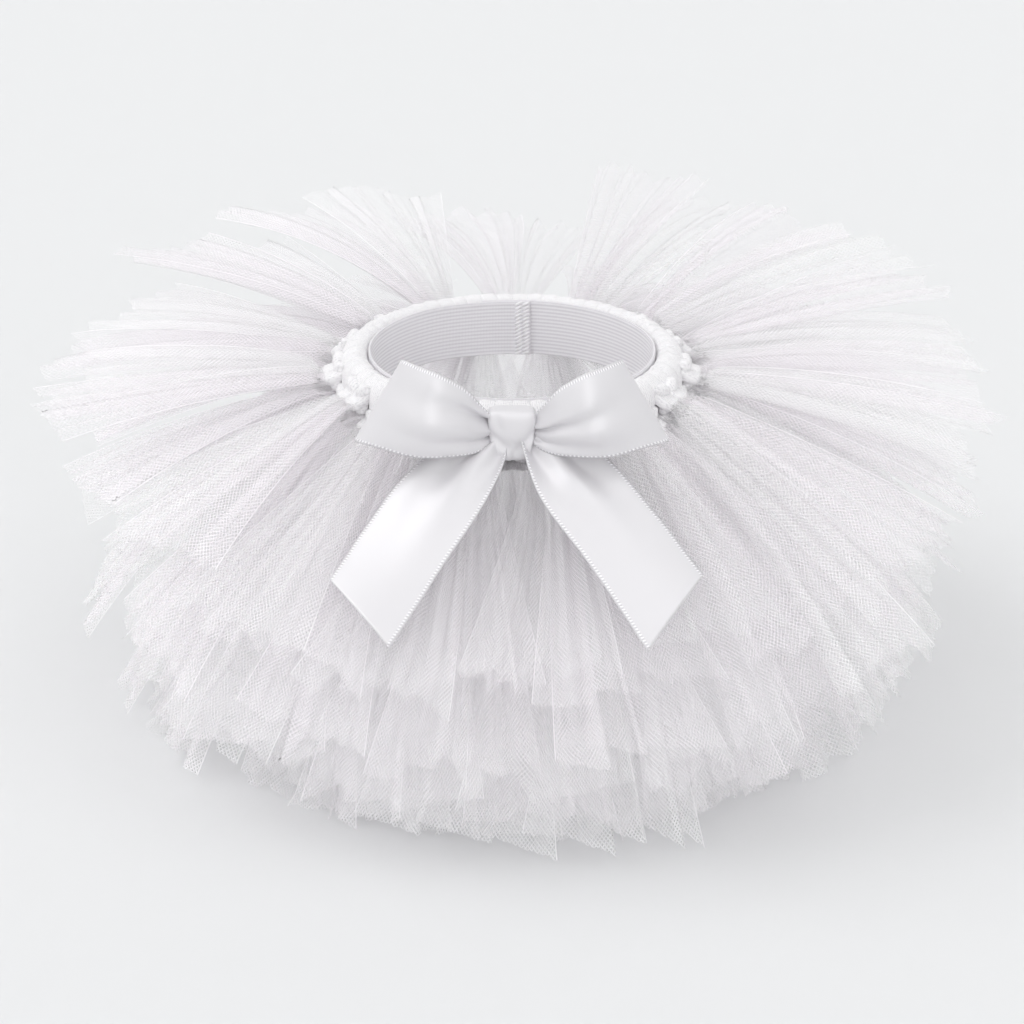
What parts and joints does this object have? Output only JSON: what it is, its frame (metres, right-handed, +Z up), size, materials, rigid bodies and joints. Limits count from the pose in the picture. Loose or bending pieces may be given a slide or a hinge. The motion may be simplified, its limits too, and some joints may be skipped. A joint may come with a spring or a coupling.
{
  "type": "baby tulle tutu skirt",
  "caption": "Short standing tutu skirt of tulle strips knotted round a waist elastic in layers, with a satin ribbon bow at the front.",
  "frame": {"origin": "on the floor, under the middle of the outline seen from above; the waist's own axis is 22 mm in front of it", "axes": "+Z up through the waist, -Y towards the front with the bow, +X to the right of someone looking at the bow"},
  "size_m": [0.4198, 0.3882, 0.1922],
  "materials": {
    "elastic": "matt woven elastic",
    "tulle": "sheer net, white with a faint lilac tint",
    "satin": "smooth satin ribbon"
  },
  "bodies": {
    "root": {"elastic_band": "elastic", "tulle_strip_01": "tulle", "tulle_strip_02": "tulle", "tulle_strip_03": "tulle", "tulle_strip_04": "tulle", "tulle_strip_05": "tulle", "tulle_strip_06": "tulle", "tulle_strip_07": "tulle", "tulle_strip_08": "tulle", "tulle_strip_09": "tulle", "tulle_strip_10": "tulle", "tulle_strip_11": "tulle", "tulle_strip_12": "tulle", "tulle_strip_13": "tulle", "tulle_strip_14": "tulle", "tulle_strip_15": "tulle", "tulle_strip_16": "tulle", "tulle_strip_17": "tulle", "tulle_strip_18": "tulle", "tulle_strip_19": "tulle", "tulle_strip_20": "tulle", "tulle_strip_21": "tulle", "tulle_strip_22": "tulle", "tulle_strip_23": "tulle", "tulle_strip_24": "tulle", "tulle_strip_25": "tulle", "tulle_strip_26": "tulle", "tulle_strip_27": "tulle", "tulle_strip_28": "tulle", "tulle_strip_29": "tulle", "tulle_strip_30": "tulle", "bow_knot": "satin", "bow_loop_left": "satin", "bow_loop_right": "satin", "bow_tail_left": "satin", "bow_tail_right": "satin"}
  },
  "joints": []
}
